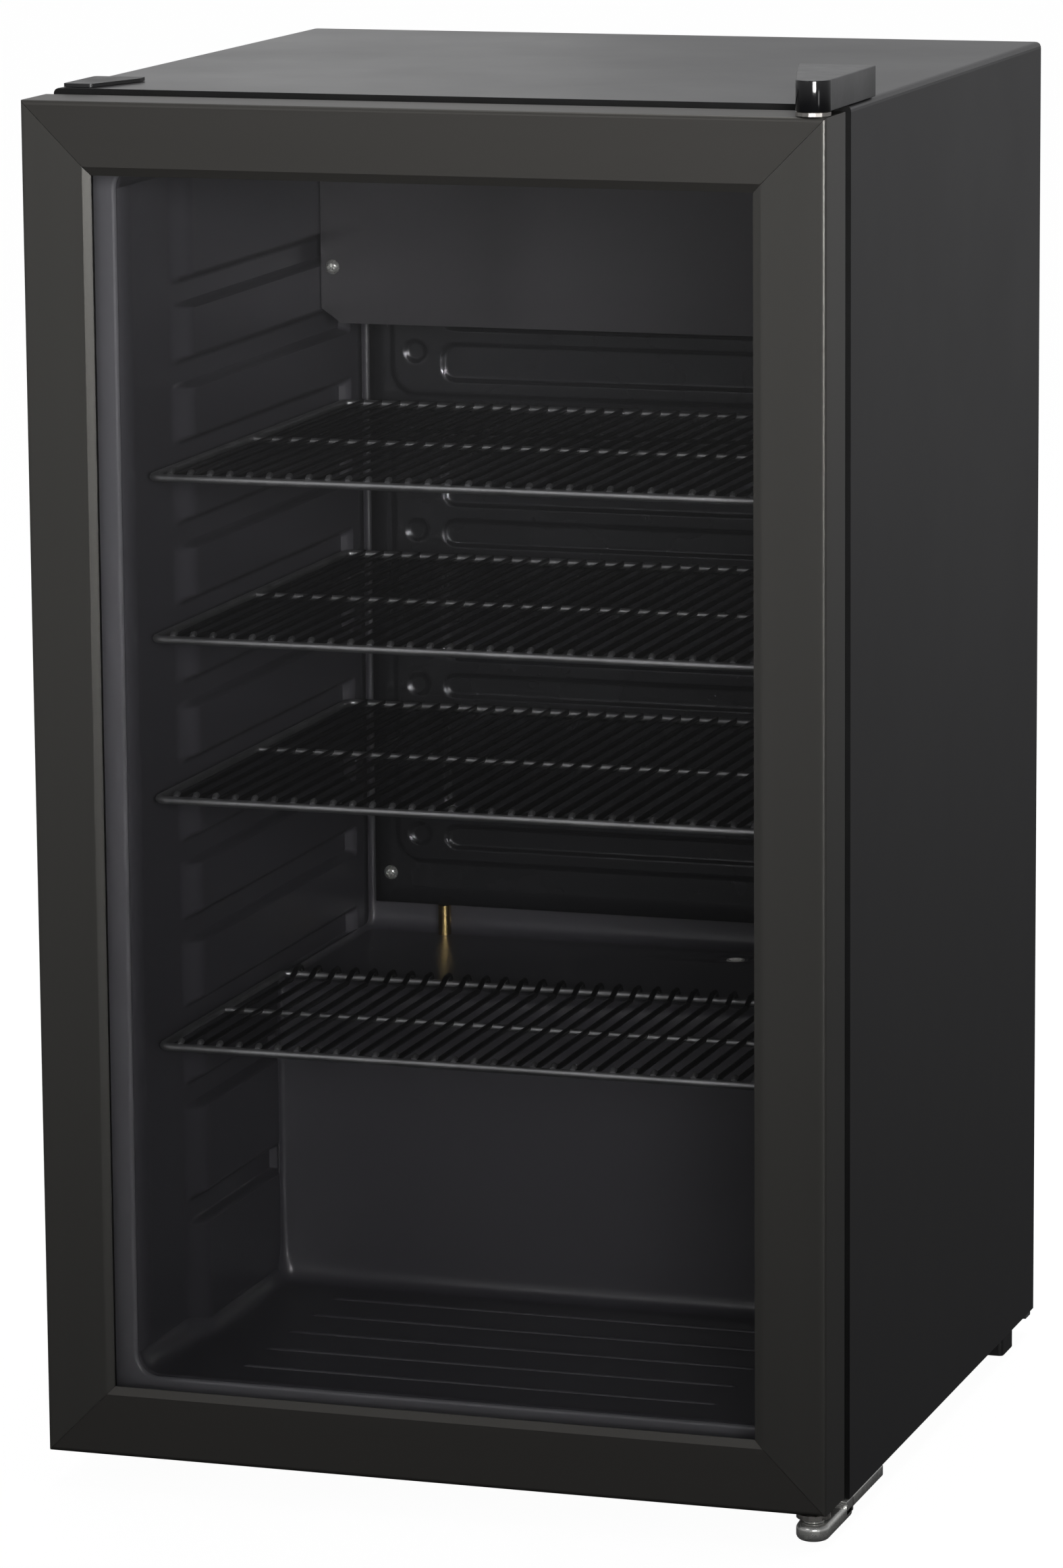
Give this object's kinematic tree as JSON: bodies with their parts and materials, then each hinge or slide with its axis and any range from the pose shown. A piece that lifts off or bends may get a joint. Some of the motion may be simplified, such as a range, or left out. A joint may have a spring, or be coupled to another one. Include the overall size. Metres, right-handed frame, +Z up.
{
  "type": "glass door merchandiser",
  "caption": "Under-counter refrigerated cabinet with a framed glass door hinged on the right, wire shelves on moulded ledges and a rear compressor bay.",
  "frame": {"origin": "on the floor, under the middle of the object's width and depth", "axes": "+Z up, the door faces -Y, +X is the hinge side, on the right when facing the door"},
  "size_m": [0.48, 0.512, 0.845],
  "materials": {
    "body_paint": "satin",
    "door_steel": "satin",
    "liner": "satin",
    "galvanised": "satin",
    "dark_sheet": "satin",
    "evaporator": "satin",
    "black_plastic": "matte",
    "gloss_black": "gloss",
    "rubber": "matte",
    "foam": "matte",
    "glass": "polished",
    "spacer": "satin",
    "chrome": "polished",
    "bushing_metal": "satin",
    "brass": "satin",
    "copper": "satin",
    "white_plastic": "satin",
    "lens": "gloss",
    "compressor_paint": "satin",
    "condenser_paint": "satin",
    "shelf_wire": "gloss"
  },
  "bodies": {
    "cabinet": {"outer_wrapper": "body_paint", "back_panel": "galvanised", "bottom_deck": "galvanised", "insulation_foam": "foam", "inner_liner": "liner", "inner_liner_left": "liner", "inner_liner_right": "liner", "rear_foot_left": "black_plastic", "rear_foot_right": "black_plastic", "upper_hinge_cover": "gloss_black", "upper_hinge_bracket": "galvanised", "lower_hinge_bracket": "chrome", "lower_hinge_pin": "chrome", "hinge_hole_cover": "gloss_black", "evaporator_plate": "evaporator", "evaporator_screw_left": "chrome", "evaporator_screw_right": "chrome", "evaporator_cover": "dark_sheet", "cover_screw_left": "chrome", "cover_screw_right": "chrome", "suction_tube": "brass", "drain_tube": "white_plastic", "compressor": "compressor_paint", "compressor_base_plate": "galvanised", "compressor_mount_1": "rubber", "compressor_mount_2": "rubber", "compressor_mount_3": "rubber", "compressor_mount_4": "rubber", "start_relay_cover": "white_plastic", "condenser_coil": "condenser_paint", "condenser_bracket_left": "galvanised", "condenser_bracket_right": "galvanised", "discharge_pipe": "copper", "filter_drier": "copper", "liquid_line": "copper", "evaporation_tray": "black_plastic", "cord_gland": "rubber", "thermostat_housing": "white_plastic", "lamp_lens": "lens"},
    "door": {"door_frame_top": "door_steel", "door_frame_bottom": "door_steel", "door_frame_left": "door_steel", "door_frame_right": "door_steel", "door_inner_frame": "black_plastic", "outer_glass": "glass", "glass_spacer": "spacer", "inner_glass": "glass", "door_gasket": "rubber", "upper_door_bushing": "bushing_metal", "lower_door_bushing": "black_plastic"},
    "shelf_1": {"shelf_1": "shelf_wire"},
    "shelf_2": {"shelf_2": "shelf_wire"},
    "shelf_3": {"shelf_3": "shelf_wire"},
    "shelf_4": {"shelf_4": "shelf_wire"},
    "thermostat_knob": {"thermostat_knob": "white_plastic"},
    "light_switch": {"light_switch": "black_plastic"},
    "front_foot_left": {"front_foot_left": "black_plastic"},
    "front_foot_right": {"front_foot_right": "black_plastic"}
  },
  "joints": [
    {"name": "door_hinge", "type": "hinge", "parent": "cabinet", "child": "door", "pos_m": [0.23, -0.246, 0.42], "axis": [0, 0, 1], "range_deg": [0, 120]},
    {"name": "shelf_1_slide", "type": "slide", "parent": "cabinet", "child": "shelf_1", "axis": [0, -1, 0], "range_m": [0, 0.055]},
    {"name": "shelf_2_slide", "type": "slide", "parent": "cabinet", "child": "shelf_2", "axis": [0, -1, 0], "range_m": [0, 0.055]},
    {"name": "shelf_3_slide", "type": "slide", "parent": "cabinet", "child": "shelf_3", "axis": [0, -1, 0], "range_m": [0, 0.055]},
    {"name": "shelf_4_slide", "type": "slide", "parent": "cabinet", "child": "shelf_4", "axis": [0, -1, 0], "range_m": [0, 0.055]},
    {"name": "thermostat_turn", "type": "hinge", "parent": "cabinet", "child": "thermostat_knob", "pos_m": [0.1657, -0.06, 0.75], "axis": [-1, 0, 0], "range_deg": [0, 300]},
    {"name": "light_switch_rock", "type": "hinge", "parent": "cabinet", "child": "light_switch", "pos_m": [0.166, -0.03, 0.75], "axis": [0, 1, 0], "range_deg": [-12, 0]},
    {"name": "front_foot_left_screw", "type": "hinge", "parent": "cabinet", "child": "front_foot_left", "pos_m": [-0.205, -0.162, 0.01], "axis": [0, 0, 1], "continuous": true},
    {"name": "front_foot_right_screw", "type": "hinge", "parent": "cabinet", "child": "front_foot_right", "pos_m": [0.205, -0.162, 0.01], "axis": [0, 0, 1], "continuous": true}
  ]
}
